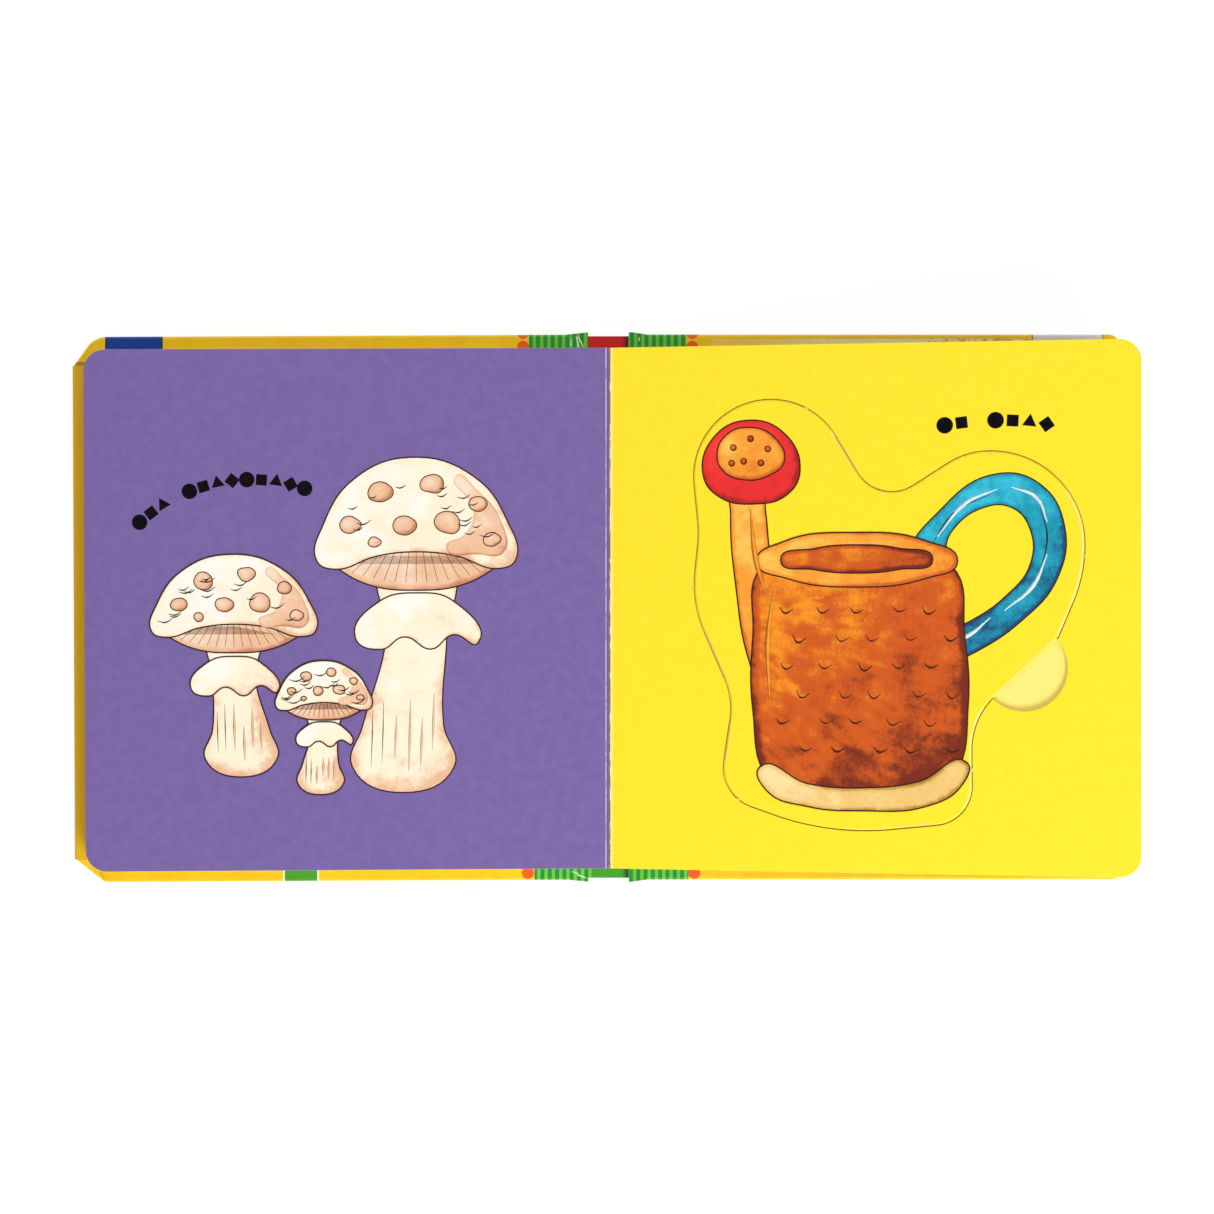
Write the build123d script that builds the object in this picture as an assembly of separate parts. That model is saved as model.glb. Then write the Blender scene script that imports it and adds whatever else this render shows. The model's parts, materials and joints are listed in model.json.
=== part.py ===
import os
from math import cos, radians, sin, tan

from build123d import *

# A child's board book with a puzzle piece in each right-hand page, lying open on a table.
# X runs along the open case, from the front cover's fore edge to the back cover's. Y runs from
# the tail of the book to its head, and Z is up. The origin is on the table, under the middle of
# the open case. All sizes are in millimetres and all leans are in degrees.

# The case: two boards and a spine card, wrapped in one sheet of printed paper
cover_width = 145.2
case_height = 160.0
spine_width = 12.0
front_joint = 5.8
back_joint = 4.8
cover_board = 2.4
spine_card = 1.8
paper = 0.3
turn_in = 15.0
edge_round = 0.8
spine_short = 0.5

# What is cut from each corner of the covers: along the head or tail, along the fore edge, and the
# radius that rounds the corner left at the head or tail
front_head_cut = (6.3, 8.8, 7.0)
front_tail_cut = (8.6, 6.9, 1.6)
back_head_cut = (8.2, 7.0, 3.0)
back_tail_cut = (7.6, 6.6, 3.0)
cut_round = 1.6

# The sheet is one piece on the real book, and is parted here where it folds beside the spine.
# Its turned-in ends stand up there in small ears, past the head and the tail.
fold_parting = 0.1
fold_ear = 0.7

# The front half lies a little askew on its fold, in degrees
front_askew = 0.27

# The leaves: each is a die-cut card glued on a whole one
die_card = 1.3
backing_card = 0.7
leaf_gap = 0.15
leaf_corner = 6.2
glued_folds = 1.0
gutter_clearance = 0.1
seat_clearance = 0.2

# How far the case stands out past the leaves
head_square = 4.55
tail_square = 3.9
fore_square = 3.8

# How far each leaf leans up from its cover, counted from the cover to the open page
left_leans = (0.0, 0.5, 1.0)
right_leans = (0.0, 5.2, 10.5)

# The puzzle pieces: the free play around each one, and the half round for a fingertip beside it
piece_play = 0.25
finger_radius = 12.3

# The outlines are drawn on a square field of this size, and grow with the leaf
outline_field = 151.55

# Each outline is a ring of corners: distance out from the gutter, height above the leaf's middle,
# and the radius that rounds the corner. The last entry is the middle of the fingertip hollow.
outlines = {
    "puzzle_piece_1": (
        [(30, 34, 26), (74, 52, 34), (118, 34, 26), (118, -36, 26), (74, -50, 34), (30, -36, 26)],
        (118, 0),
    ),
    "puzzle_piece_2": (
        [(44, 58, 22), (106, 58, 22), (132, 0, 24), (106, -58, 22), (44, -58, 22), (22, 0, 24)],
        (119, 29),
    ),
    "puzzle_piece_3": (
        [
            (22.5, 60.2, 22.0),
            (59.6, 60.0, 21.9),
            (78.3, 28.7, 11.4),
            (103.3, 44.6, 21.5),
            (136.5, 44.6, 26.5),
            (136.4, 9.4, 41.8),
            (129.0, -8.3, 2.8),
            (104.6, -31.1, 21.7),
            (105.0, -60.7, 11.2),
            (64.5, -65.1, 78.6),
            (32.2, -53.9, 11.8),
            (36.4, -26.0, 20.9),
            (24.3, 1.5, 34.4),
            (26.4, 21.8, 34.3),
        ],
        (119.4, -17.0),
    ),
    "puzzle_piece_4": (
        [(26, 50, 24), (96, 56, 30), (128, 4, 22), (100, -54, 26), (34, -50, 22)],
        (112, 30),
    ),
    "puzzle_piece_5": (
        [(28, 20, 18), (74, 62, 20), (120, 20, 18), (110, -52, 20), (38, -52, 20)],
        (97, 41),
    ),
}

# Sizes that follow from those above
half_height = case_height / 2
case_thickness = cover_board + 2 * paper
front_reach = cover_width + front_joint + spine_width / 2
back_reach = cover_width + back_joint + spine_width / 2
gutter_x = (front_reach - back_reach) / 2
leaf_thickness = die_card + backing_card
leaf_width = back_reach - fore_square
leaf_height = case_height - head_square - tail_square
leaf_middle = (tail_square - head_square) / 2
outline_scale = min(leaf_width, leaf_height) / outline_field
gutter_height = case_thickness + len(right_leans) * (leaf_thickness + leaf_gap) - leaf_gap


def block(x_span, y_span, z_span):
    """Box between two limits on each axis."""
    corner = (x_span[0], y_span[0], z_span[0])
    size = (x_span[1] - x_span[0], y_span[1] - y_span[0], z_span[1] - z_span[0])
    return Pos(*corner) * Box(*size, align=(Align.MIN, Align.MIN, Align.MIN))


def at_head_and_tail(solid):
    """The solid at the head of the book, and its twin at the tail."""
    return solid + mirror(solid, about=Plane.XZ)


def cover_plan(inner, outer, head_cut, tail_cut):
    """Plan of a wrapped cover, from its joint edge to its fore edge, with two corners cut off."""
    corners = [
        (inner, -half_height),
        (outer - tail_cut[0], -half_height),
        (outer, tail_cut[1] - half_height),
        (outer, half_height - head_cut[1]),
        (outer - head_cut[0], half_height),
        (inner, half_height),
    ]
    rounds = [0, tail_cut[2], cut_round, cut_round, head_cut[2], 0]
    return make_face(FilletPolyline(*corners, radius=rounds, close=True))


def slab_and_rims(plan, inner, bottom, thickness):
    """Slab, and its upper and lower edges everywhere but on its joint side."""
    slab = Pos(0, 0, bottom) * extrude(plan, thickness)
    rims = [
        edge
        for edge in slab.edges()
        if abs(edge.tangent_at(0.5).Z) < 0.5 and edge.center().X > inner + edge_round
    ]
    return slab, rims


def turned_ends(inner, root):
    """The sheet's turned-in ends in the joint: up from the fold, and over to the board's top."""
    window_height = half_height - turn_in
    plan = Polyline(
        (root, window_height),
        (inner, window_height),
        (inner, half_height),
        (root, half_height + fold_ear),
        close=True,
    )
    profile = Polyline(
        (root, 0, 0),
        (inner, 0, 0),
        (inner, 0, case_thickness),
        (root, 0, spine_card + 2 * paper),
        close=True,
    )
    end = extrude(make_face(plan), case_thickness)
    return at_head_and_tail(end & extrude(make_face(profile), case_height, dir=(0, 1, 0)))


def make_cover(joint, head_cut, tail_cut, askew):
    """Board and paper of one cover, to the right of the gutter at X = 0."""
    inner = spine_width / 2 + joint
    outer = inner + cover_width
    board_plan = offset(cover_plan(inner - paper, outer, head_cut, tail_cut), -paper)
    board_slab, board_rims = slab_and_rims(board_plan, inner, paper, cover_board)
    board = chamfer(board_rims, edge_round - paper)

    wrap_plan = cover_plan(inner, outer, head_cut, tail_cut)
    wrap_slab, wrap_rims = slab_and_rims(wrap_plan, inner, 0, case_thickness)
    wrapped = fillet(wrap_rims, edge_round)
    window_height = half_height - turn_in
    window = block(
        (inner, outer - turn_in),
        (-window_height, window_height),
        (paper + cover_board, case_thickness),
    )
    sheet = wrapped - board - window

    flap_start = spine_width / 2 + paper + fold_parting
    root = flap_start - case_height * tan(radians(abs(askew)))
    flap = block((root, inner), (-half_height, half_height), (0, paper))
    past_fold = block((0, flap_start), (-case_height, case_height), (0, case_thickness))
    turn = Rot(0, 0, askew)
    return turn * board, turn * (sheet + flap + turned_ends(inner, root)) - past_fold


def make_spine():
    """Spine card and the paper around it, centred on the gutter at X = 0."""
    end = half_height - spine_short
    card_half = spine_width / 2
    card = block((-card_half, card_half), (paper - end, end - paper), (paper, paper + spine_card))
    wrap_half = card_half + paper
    sheet = block((-wrap_half, wrap_half), (-end, end), (0, paper))
    turned = block((-wrap_half, wrap_half), (end - turn_in, end), (0, spine_card + 2 * paper))
    return card, sheet + at_head_and_tail(turned) - card


def leaf_plane(level, lean):
    """Upper face of a right-hand leaf: its X runs out from the gutter, its Y to the head."""
    top = case_thickness + level * (leaf_thickness + leaf_gap) + leaf_thickness
    slope = radians(lean)
    return Plane(
        origin=(0, leaf_middle, top),
        x_dir=(cos(slope), 0, sin(slope)),
        z_dir=(-sin(slope), 0, cos(slope)),
    )


def outline_face(name):
    """Flat outline of a puzzle piece."""
    corners, _ = outlines[name]
    points = [(x * outline_scale, y * outline_scale) for x, y, _ in corners]
    radii = [radius * outline_scale for _, _, radius in corners]
    return make_face(FilletPolyline(*points, radius=radii, close=True))


def recess_face(name):
    """Outline of the hollow for a puzzle piece: its free play, and the fingertip hollow."""
    _, (x, y) = outlines[name]
    finger = Pos(x * outline_scale, y * outline_scale) * Circle(finger_radius)
    return offset(outline_face(name), piece_play) + finger


def make_leaf(level, lean, piece, piece_faces_up):
    """One right-hand leaf, and its puzzle piece if it has one."""
    top = leaf_plane(level, lean)
    plan = Pos((leaf_width - leaf_thickness) / 2, 0) * Rectangle(
        leaf_width + leaf_thickness, leaf_height
    )
    plan = fillet(plan.vertices().sort_by(Axis.X)[-2:], leaf_corner)
    leaf = extrude(top * plan, -leaf_thickness)
    if piece is None:
        return leaf, None
    start = 0 if piece_faces_up else die_card - leaf_thickness
    cut_plane = top.offset(start)
    recess = extrude(cut_plane * recess_face(piece), -die_card)
    return leaf - recess, extrude(cut_plane * outline_face(piece), -die_card)


def make_stack(leans, pieces, pieces_face_up, joint, askew):
    """One half of the leaves as a single solid, glued along its folds, and its puzzle pieces."""
    low, high = leaf_middle - leaf_height / 2, leaf_middle + leaf_height / 2
    folds = block((-glued_folds, glued_folds), (low, high), (case_thickness, gutter_height))
    inner = spine_width / 2 + joint
    seat_half = half_height - turn_in - seat_clearance
    seat = block(
        (inner, inner + cover_width - turn_in - seat_clearance),
        (-seat_half, seat_half),
        (case_thickness - paper, case_thickness),
    )
    stack = folds + seat
    loose = {}
    turn = Rot(0, 0, askew)
    for level, (lean, piece) in enumerate(zip(leans, pieces)):
        leaf, loose_piece = make_leaf(level, lean, piece, pieces_face_up)
        stack += leaf
        if piece:
            loose[piece] = turn * loose_piece
    past_gutter = block(
        (-leaf_width, gutter_clearance), (-case_height, case_height), (0, 2 * gutter_height)
    )
    return turn * stack - past_gutter, loose


def make_nodes():
    """Every separate piece of the book, by name, in its place on the table."""
    front_board, front_paper = make_cover(
        front_joint, front_head_cut, front_tail_cut, -front_askew
    )
    left_pages, left_pieces = make_stack(
        left_leans, (None, "puzzle_piece_1", "puzzle_piece_2"), False, front_joint, -front_askew
    )
    front = {
        "front_board": front_board,
        "front_cover_paper": front_paper,
        "left_pages": left_pages,
        **left_pieces,
    }
    nodes = {name: mirror(solid, about=Plane.YZ) for name, solid in front.items()}

    nodes["spine_card"], nodes["spine_paper"] = make_spine()
    nodes["back_board"], nodes["back_cover_paper"] = make_cover(
        back_joint, back_head_cut, back_tail_cut, 0
    )
    nodes["right_pages"], right_pieces = make_stack(
        right_leans, ("puzzle_piece_5", "puzzle_piece_4", "puzzle_piece_3"), True, back_joint, 0
    )
    nodes.update(right_pieces)
    return {name: Pos(gutter_x, 0, 0) * solid for name, solid in nodes.items()}


os.makedirs("parts", exist_ok=True)
for node_name, node in make_nodes().items():
    export_step(node, f"parts/{node_name}.step")
    print(f"{node_name}: {node.volume:.1f} cubic millimetres")
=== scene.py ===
import json
import math
import random
from functools import partial

import bmesh
import bpy
from mathutils import Matrix, Vector
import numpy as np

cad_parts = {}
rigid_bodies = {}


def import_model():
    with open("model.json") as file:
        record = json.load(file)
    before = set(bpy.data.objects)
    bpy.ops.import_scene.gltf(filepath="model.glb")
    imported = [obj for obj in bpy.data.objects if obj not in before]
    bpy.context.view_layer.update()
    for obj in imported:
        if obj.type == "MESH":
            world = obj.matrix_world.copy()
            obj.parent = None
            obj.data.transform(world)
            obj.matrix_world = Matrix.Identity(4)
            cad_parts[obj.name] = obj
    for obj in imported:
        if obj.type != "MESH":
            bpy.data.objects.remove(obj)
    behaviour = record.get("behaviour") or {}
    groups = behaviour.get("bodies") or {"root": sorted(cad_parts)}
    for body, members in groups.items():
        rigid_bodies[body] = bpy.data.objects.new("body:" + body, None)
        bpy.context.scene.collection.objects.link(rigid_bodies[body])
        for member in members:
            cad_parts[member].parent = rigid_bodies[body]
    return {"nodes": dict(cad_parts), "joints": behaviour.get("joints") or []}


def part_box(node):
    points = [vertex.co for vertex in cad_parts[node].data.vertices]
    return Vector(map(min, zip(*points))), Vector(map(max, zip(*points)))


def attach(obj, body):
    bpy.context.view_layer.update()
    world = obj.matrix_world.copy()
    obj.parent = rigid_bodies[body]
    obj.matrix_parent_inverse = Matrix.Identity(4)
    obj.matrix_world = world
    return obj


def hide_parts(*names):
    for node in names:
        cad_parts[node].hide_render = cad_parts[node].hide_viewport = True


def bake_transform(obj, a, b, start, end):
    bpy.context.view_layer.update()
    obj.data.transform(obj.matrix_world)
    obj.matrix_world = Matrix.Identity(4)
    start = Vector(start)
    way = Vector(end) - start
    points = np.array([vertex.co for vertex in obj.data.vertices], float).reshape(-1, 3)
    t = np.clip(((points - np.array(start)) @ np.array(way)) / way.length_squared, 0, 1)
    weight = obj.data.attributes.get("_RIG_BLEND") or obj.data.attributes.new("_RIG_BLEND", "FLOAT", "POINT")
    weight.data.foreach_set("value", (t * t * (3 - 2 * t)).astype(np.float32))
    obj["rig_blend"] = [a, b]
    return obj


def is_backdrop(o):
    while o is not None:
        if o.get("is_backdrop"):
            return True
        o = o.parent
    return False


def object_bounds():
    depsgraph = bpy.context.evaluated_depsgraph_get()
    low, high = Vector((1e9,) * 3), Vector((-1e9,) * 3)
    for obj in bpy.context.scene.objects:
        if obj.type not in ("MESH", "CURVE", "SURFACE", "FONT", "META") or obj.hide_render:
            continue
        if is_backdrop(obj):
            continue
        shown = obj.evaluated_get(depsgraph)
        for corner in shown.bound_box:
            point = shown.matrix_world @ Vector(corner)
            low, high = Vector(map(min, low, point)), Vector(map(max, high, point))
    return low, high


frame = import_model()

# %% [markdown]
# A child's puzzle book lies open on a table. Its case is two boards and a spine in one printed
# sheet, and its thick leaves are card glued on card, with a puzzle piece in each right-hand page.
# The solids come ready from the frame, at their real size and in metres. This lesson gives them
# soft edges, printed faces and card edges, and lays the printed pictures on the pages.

MM = 0.001
nodes = frame["nodes"]
cad_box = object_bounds()
gutter = Vector(frame["joints"][0]["pos_m"])
scene = bpy.context.scene
print("Pieces in the frame:", ", ".join(sorted(nodes)))
print("The open leaves meet at the gutter, at", [round(v / MM, 2) for v in gutter], "mm")

# %% [markdown]
# The camera looks straight down, as a copy stand does. Its lens and height were found from the
# sizes of the case and of the raised right-hand page, which looks larger because it is nearer.
# The lens and the sensor are given in millimetres, as a camera maker gives them.

# %% Camera
CAMERA_HEIGHT = 817 * MM
CAMERA_SIDE = -0.1 * MM
CAMERA_LENS = 82.3
SENSOR_WIDTH = 36
NEAREST_SEEN = 10 * MM

camera_data = bpy.data.cameras.new("copy_stand_camera")
camera_data.lens = CAMERA_LENS
camera_data.sensor_width = SENSOR_WIDTH
camera_data.clip_start = NEAREST_SEEN
camera = bpy.data.objects.new("copy_stand_camera", camera_data)
camera.location = (CAMERA_SIDE, 0, CAMERA_HEIGHT)
scene.collection.objects.link(camera)
scene.camera = camera
print("Camera is", round(CAMERA_HEIGHT, 3), "m above the table")

# %% [markdown]
# A colour in print is given as hex, as a designer notes it. Cycles works with linear light, so one
# function turns each hex value into linear numbers. Another adds a shader node, sets its options
# and fills its inputs, either with plain values or with links, and gives back one of its outputs.

# %% Colour and node helpers
def ink(text):
    """Linear colour from an sRGB hex value."""
    channels = [int(text[i:i + 2], 16) / 255 for i in (1, 3, 5)]
    return (*[c / 12.92 if c <= 0.04045 else ((c + 0.055) / 1.055) ** 2.4 for c in channels], 1)


def add_node(tree, kind, inputs=None, output=0, **settings):
    """Adds a node and gives back an output. Inputs are values or links, settings are options."""
    node = tree.nodes.new(kind)
    for name, value in settings.items():
        setattr(node, name, value)
    for name, value in (inputs or {}).items():
        if isinstance(value, bpy.types.NodeSocket):
            tree.links.new(value, node.inputs[name])
        else:
            node.inputs[name].default_value = value
    return node.outputs[output] if node.outputs else node


def new_material(name):
    """An empty node material, and add_node made ready for its tree."""
    material = bpy.data.materials.new(name)
    material.use_nodes = True
    material.node_tree.nodes.clear()
    return material, partial(add_node, material.node_tree)


# The inputs and the output of a Mix node for colours, counted because their names repeat
FACTOR, COLOUR_A, COLOUR_B, MIXED = 0, 6, 7, 2
COLOURS = {"data_type": "RGBA"}
SMOOTH = {"interpolation_type": "SMOOTHSTEP"}
SURFACE = "ShaderNodeOutputMaterial"
SHADER = "ShaderNodeBsdfPrincipled"
print("Mid grey, #808080, is", round(ink("#808080")[0], 3), "in linear light")

# %% [markdown]
# Nothing that is printed, cut or pasted is quite even. One pattern serves for all of it: cloudy
# noise, with a scale of one over a real size, so that its blotches are about as wide as that, and
# a range that spreads its middle tones from 0 to 1. Stretched one way, the blotches are streaks.

# %% Cloudy pattern of a real size
def mottle(add, place, grain, contrast=0.3, stretch=(1, 1, 1), detail=4.0):
    """Cloudy pattern from 0 to 1, with blotches of a real size."""
    moved = add("ShaderNodeMapping", {"Vector": place, "Scale": stretch})
    inputs = {"Vector": moved, "Scale": 1 / grain, "Detail": detail, "Roughness": 0.6}
    noise = add("ShaderNodeTexNoise", inputs)
    span = {"Value": noise, "From Min": 0.5 - contrast / 2, "From Max": 0.5 + contrast / 2}
    return add("ShaderNodeMapRange", span, **SMOOTH)


print("A 3 mm blotch needs a noise scale of", round(1 / (3 * MM)))

# %% [markdown]
# The pages are coated board, printed and varnished: smooth, with a satin gloss. Offset print on
# such board isn't quite even, so each colour gets faint clouds a few millimetres across and a
# very fine tooth. The real tooth is finer still, and is drawn coarse enough to show. Where the
# leaves fold at the gutter the varnish is scuffed, in places to white card. Along the fold there
# are also lines of painted shade down the crease, and a painted highlight on the yellow shoulder.

# %% Printed page materials
SATIN, COATED = 0.42, 0.35
CLOUD, TOOTH, SPECK = 3 * MM, 0.35 * MM, 1.1 * MM
ALONG_GUTTER = (1, 0.3, 1)
DENT = 0.01 * MM


def page_material(name, dark, light, gutter_scuffs_and_shading):
    """Satin coated print: clouds of two close colours, fine tooth, and lines by the gutter:
    scuffs, painted shade in the crease and a painted highlight on the shoulder.
    """
    material, add = new_material(name)
    place = add("ShaderNodeTexCoord", output="Object")
    across = add("ShaderNodeSeparateXYZ", {"Vector": place})
    away = add("ShaderNodeMath", {0: across, 1: gutter.x}, operation="SUBTRACT")
    tooth = mottle(add, place, TOOTH, 0.6, detail=1)
    clouds = add("ShaderNodeMath", {0: mottle(add, place, CLOUD), 1: tooth}, operation="ADD")
    share = add("ShaderNodeMath", {0: clouds, 1: 0.5}, operation="MULTIPLY")
    inputs = {FACTOR: share, COLOUR_A: ink(dark), COLOUR_B: ink(light)}
    colour = add("ShaderNodeMix", inputs, MIXED, **COLOURS)
    speckle = mottle(add, place, SPECK, 0.1, ALONG_GUTTER, 5)
    for centre, width, bare, strength, scuff_or_shading_colour in gutter_scuffs_and_shading:
        near = {0: away, 1: centre * MM, 2: width * MM / 2}
        near = add("ShaderNodeMath", near, operation="COMPARE")
        wear_or_shading = {0: speckle, 1: bare}
        wear_or_shading = add("ShaderNodeMath", wear_or_shading, operation="GREATER_THAN")
        wear_or_shading = add("ShaderNodeMath", {0: near, 1: wear_or_shading}, operation="MULTIPLY")
        wear_or_shading = add("ShaderNodeMath", {0: wear_or_shading, 1: strength}, operation="MULTIPLY")
        inputs = {FACTOR: wear_or_shading, COLOUR_A: colour, COLOUR_B: ink(scuff_or_shading_colour)}
        colour = add("ShaderNodeMix", inputs, MIXED, **COLOURS)
    dents = add("ShaderNodeBump", {"Height": tooth, "Strength": 0.5, "Distance": DENT})
    inputs = {
        "Base Color": colour, "Roughness": SATIN, "Specular IOR Level": COATED, "Normal": dents,
    }
    add(SURFACE, {"Surface": add(SHADER, inputs)})
    return material


# Scuffs, and lines of painted shade and highlight by the fold: distance from the gutter and width
# in millimetres, how much speckle it takes to show (at -1 the line is whole), strength, colour
purple_page = page_material("printed_board_purple", "#725d9d", "#7e67a8", [
    (-0.88, 0.26, -1, 0.5, "#e2cbf0"), (-0.88, 0.26, 0.3, 0.6, "#f2e6fa"),
    # The dark line half a millimetre from the gutter is painted shade in the crease.
    (-0.5, 0.5, -1, 0.7, "#6a5488"), (-0.1, 0.3, -1, 0.85, "#b48ac6"),
])
yellow_page = page_material("printed_board_yellow", "#ffe31f", "#ffe92b", [
    # The brownish line by the gutter is painted shade in the crease; the speckled white one is a scuff.
    (0.2, 0.5, -1, 0.85, "#c59c92"), (0.28, 0.4, 0.8, 0.95, "#fff2ee"),
    # The pale yellow line along the shoulder of the fold is a painted highlight.
    (0.85, 0.55, -1, 0.45, "#fff6b8"),
])
print("Page materials:", purple_page.name, yellow_page.name)

# %% [markdown]
# What was cut, glued or hidden has no varnish, so it is matte. The leaves' edges are white card
# cut by a die, which shows thin layers: streaks that run along the edge, drawn coarser than the
# fibres are. The floor of a hollow is card with a pale yellow tint, and the walls of the cuts are
# yellow. The pale, slightly smoother rim on the piece's right side is a painted highlight. The
# boards of the case are grey board, made from waste paper, with cloudy grey-brown specks.

# %% Card edge, hollow and board materials
LAYERED = (0.08, 0.08, 1.0)


def plain_material(name, dark, light, grain, roughness, stretch=(1, 1, 1), gloss=0.3):
    """Even surface with two close colours in clouds or streaks of a real size."""
    material, add = new_material(name)
    place = add("ShaderNodeTexCoord", output="Object")
    clouds = mottle(add, place, grain * MM, 0.3, stretch, 5)
    inputs = {FACTOR: clouds, COLOUR_A: ink(dark), COLOUR_B: ink(light)}
    colour = add("ShaderNodeMix", inputs, MIXED, **COLOURS)
    dents = add("ShaderNodeBump", {"Height": clouds, "Strength": 0.5, "Distance": DENT})
    inputs = {
        "Base Color": colour, "Roughness": roughness, "Specular IOR Level": gloss, "Normal": dents,
    }
    add(SURFACE, {"Surface": add(SHADER, inputs)})
    return material


card_edge = plain_material("white_card_edge", "#d9d0bd", "#f3eee2", 0.3, 0.8, LAYERED)
hollow_floor = plain_material("card_seen_in_hollow", "#fde878", "#ffec80", 1.5, 0.6)
die_cut_edge = plain_material("die_cut_card_edge", "#ecd552", "#f4e066", 0.6, 0.7)
# The pale rim is a painted highlight, on the side of the piece that faces the key lamp.
piece_highlight_rim = plain_material("painted_highlight_rim", "#ffee78", "#fff28a", 1.0, 0.5)
grey_board = plain_material("grey_case_board", "#8f8676", "#a79d8b", 0.8, 0.9)
plain = (card_edge, hollow_floor, die_cut_edge, piece_highlight_rim, grey_board)
print("Plain materials:", ", ".join(material.name for material in plain))

# %% [markdown]
# The frame's solids have sharp edges and are stored as loose triangles. A copy is merged, its flat
# triangles are joined into whole faces, and its outward edges are rounded a little with a bevel,
# because card that has been cut and handled is never quite sharp. The copy stands for the solid.

# %% Merged copies with soft edges
MERGE = 1e-6
FLAT = math.radians(0.3)
SHARP = math.radians(50)


def merged_copy(node):
    """A bmesh of a solid, with its flat triangles joined into whole faces."""
    shape = bmesh.new()
    shape.from_mesh(nodes[node].data)
    bmesh.ops.remove_doubles(shape, verts=shape.verts, dist=MERGE)
    bmesh.ops.dissolve_limit(shape, angle_limit=FLAT, verts=shape.verts, edges=shape.edges)
    return shape


def soften(shape, radius, steps=2, chosen=None):
    """Rounds the outward sharp edges, or the chosen ones of them."""
    edges = [
        edge for edge in shape.edges
        if edge.is_manifold and edge.is_convex and edge.calc_face_angle() > SHARP
        and (chosen is None or chosen(edge))
    ]
    bmesh.ops.bevel(
        shape, geom=edges, offset=radius, offset_type="OFFSET", segments=steps, profile=0.5,
        affect="EDGES", material=-1, clamp_overlap=True,
    )


print("An edge that turns by more than", round(math.degrees(SHARP)), "degrees is softened")

# %% [markdown]
# A finished mesh becomes an object at the origin, with its place in its mesh. It is put on the
# body of the book it moves with, and the solids it stands for are hidden.

# %% From mesh to piece
def make_piece(shape, name, materials, body=None, stands_for=()):
    """Turns a bmesh into an object with its materials, on its body, hiding the solids it stands for."""
    mesh = bpy.data.meshes.new(name)
    shape.to_mesh(mesh)
    shape.free()
    for material in materials:
        mesh.materials.append(material)
    piece = bpy.data.objects.new(name, mesh)
    scene.collection.objects.link(piece)
    if body:
        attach(piece, body)
    if stands_for:
        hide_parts(*stands_for)
    print(f"{name}: {len(mesh.polygons)} faces")
    return piece


def even_shading(piece, angle=SHARP):
    """Smooth shading that keeps broad faces flat and corners crisp."""
    for polygon in piece.data.polygons:
        polygon.use_smooth = True
    piece.data.set_sharp_from_angle(angle=angle)
    normals = piece.modifiers.new("flat_faces_stay_flat", "WEIGHTED_NORMAL")
    normals.keep_sharp = True


# %% [markdown]
# The front half lies a little askew and each open page leans, so nothing is taken to be square.
# The way each half points is read from its board's edge in the joint, and the lean of a page from
# the broad face of the puzzle piece that lies in its leaf.

# %% Where each half and each page lies
UPRIGHT = 0.5

# Side of the open book: its cover, and the body that it moves with
HALVES = {"left": ("front", "front_half"), "right": ("back", "back_half")}


def page_plane(piece):
    """Upward normal of a puzzle piece, and the height of its upper face along that normal."""
    mesh = nodes[piece].data
    normal = max(mesh.polygons, key=lambda polygon: polygon.area).normal.copy()
    normal *= math.copysign(1, normal.z)
    return normal, max(normal.dot(vertex.co) for vertex in mesh.vertices)


def joint_edge(cover):
    """Where a board's edge in the joint crosses mid-height, and the way out from the spine."""
    faces = [
        face for face in nodes[f"{cover}_board"].data.polygons
        if abs(face.normal.z) < UPRIGHT and face.normal.x * (face.center.x - gutter.x) < 0
    ]
    face = max(faces, key=lambda polygon: polygon.area)
    out = -face.normal
    along = out.cross(Vector((0, 0, 1)))
    return face.center - along * (face.center.y / along.y), out


joint_edges = {side: joint_edge(cover) for side, (cover, _) in HALVES.items()}
right_planes = [page_plane(f"puzzle_piece_{number}") for number in (3, 4, 5)]
page_normals = {"left": page_plane("puzzle_piece_2")[0], "right": right_planes[0][0]}
for side, normal in page_normals.items():
    lean = math.degrees(math.acos(normal.z))
    askew = math.degrees(math.asin(joint_edges[side][1].y))
    print(f"The open {side} page leans {lean:.2f} degrees, and its half is askew by {askew:.2f}")

# %% [markdown]
# Each leaf is two cards glued together, and the shape of its puzzle piece is punched from the card
# that carries the right-hand page. The faces are sorted by where they point: up and down are the
# two prints, which change places between the halves, and the rest is the cut edge of white card.
# The floor of a hollow that opens upwards is found by its depth below the page, and the punched
# walls by lying well inside the leaf. At the gutter the print runs on over the fold.

# %% Sorting the faces of the leaves
PAGE_TURN = 0.9
HOLLOW_DEPTHS = (0.5 * MM, 1.6 * MM)
FOLD_REACH, FOLD_TURN = 1 * MM, 0.1
LEAF_MARGIN = 3 * MM
PRINT_UP, PRINT_DOWN, CARD, FLOOR, PUNCHED = range(5)
low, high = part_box("right_pages")


def depth_below_page(face):
    """How far an upward face lies below the page of its own leaf."""
    normal, height = max(right_planes, key=lambda plane: face.normal.dot(plane[0]))
    return height - normal.dot(face.calc_center_median())


def finish_of(face, side):
    """Which of the leaf finishes a face has."""
    middle = face.calc_center_median()
    if face.normal.z > PAGE_TURN:
        shallow, deep = HOLLOW_DEPTHS
        in_hollow = side == "right" and shallow < depth_below_page(face) < deep
        return FLOOR if in_hollow else PRINT_UP
    if face.normal.z < -PAGE_TURN:
        return PRINT_DOWN
    if face.normal.z > FOLD_TURN and abs(middle.x - gutter.x) < FOLD_REACH:
        return PRINT_UP
    inside = gutter.x + LEAF_MARGIN < middle.x < high.x - LEAF_MARGIN
    inside = inside and low.y + LEAF_MARGIN < middle.y < high.y - LEAF_MARGIN
    return PUNCHED if inside else CARD


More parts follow.
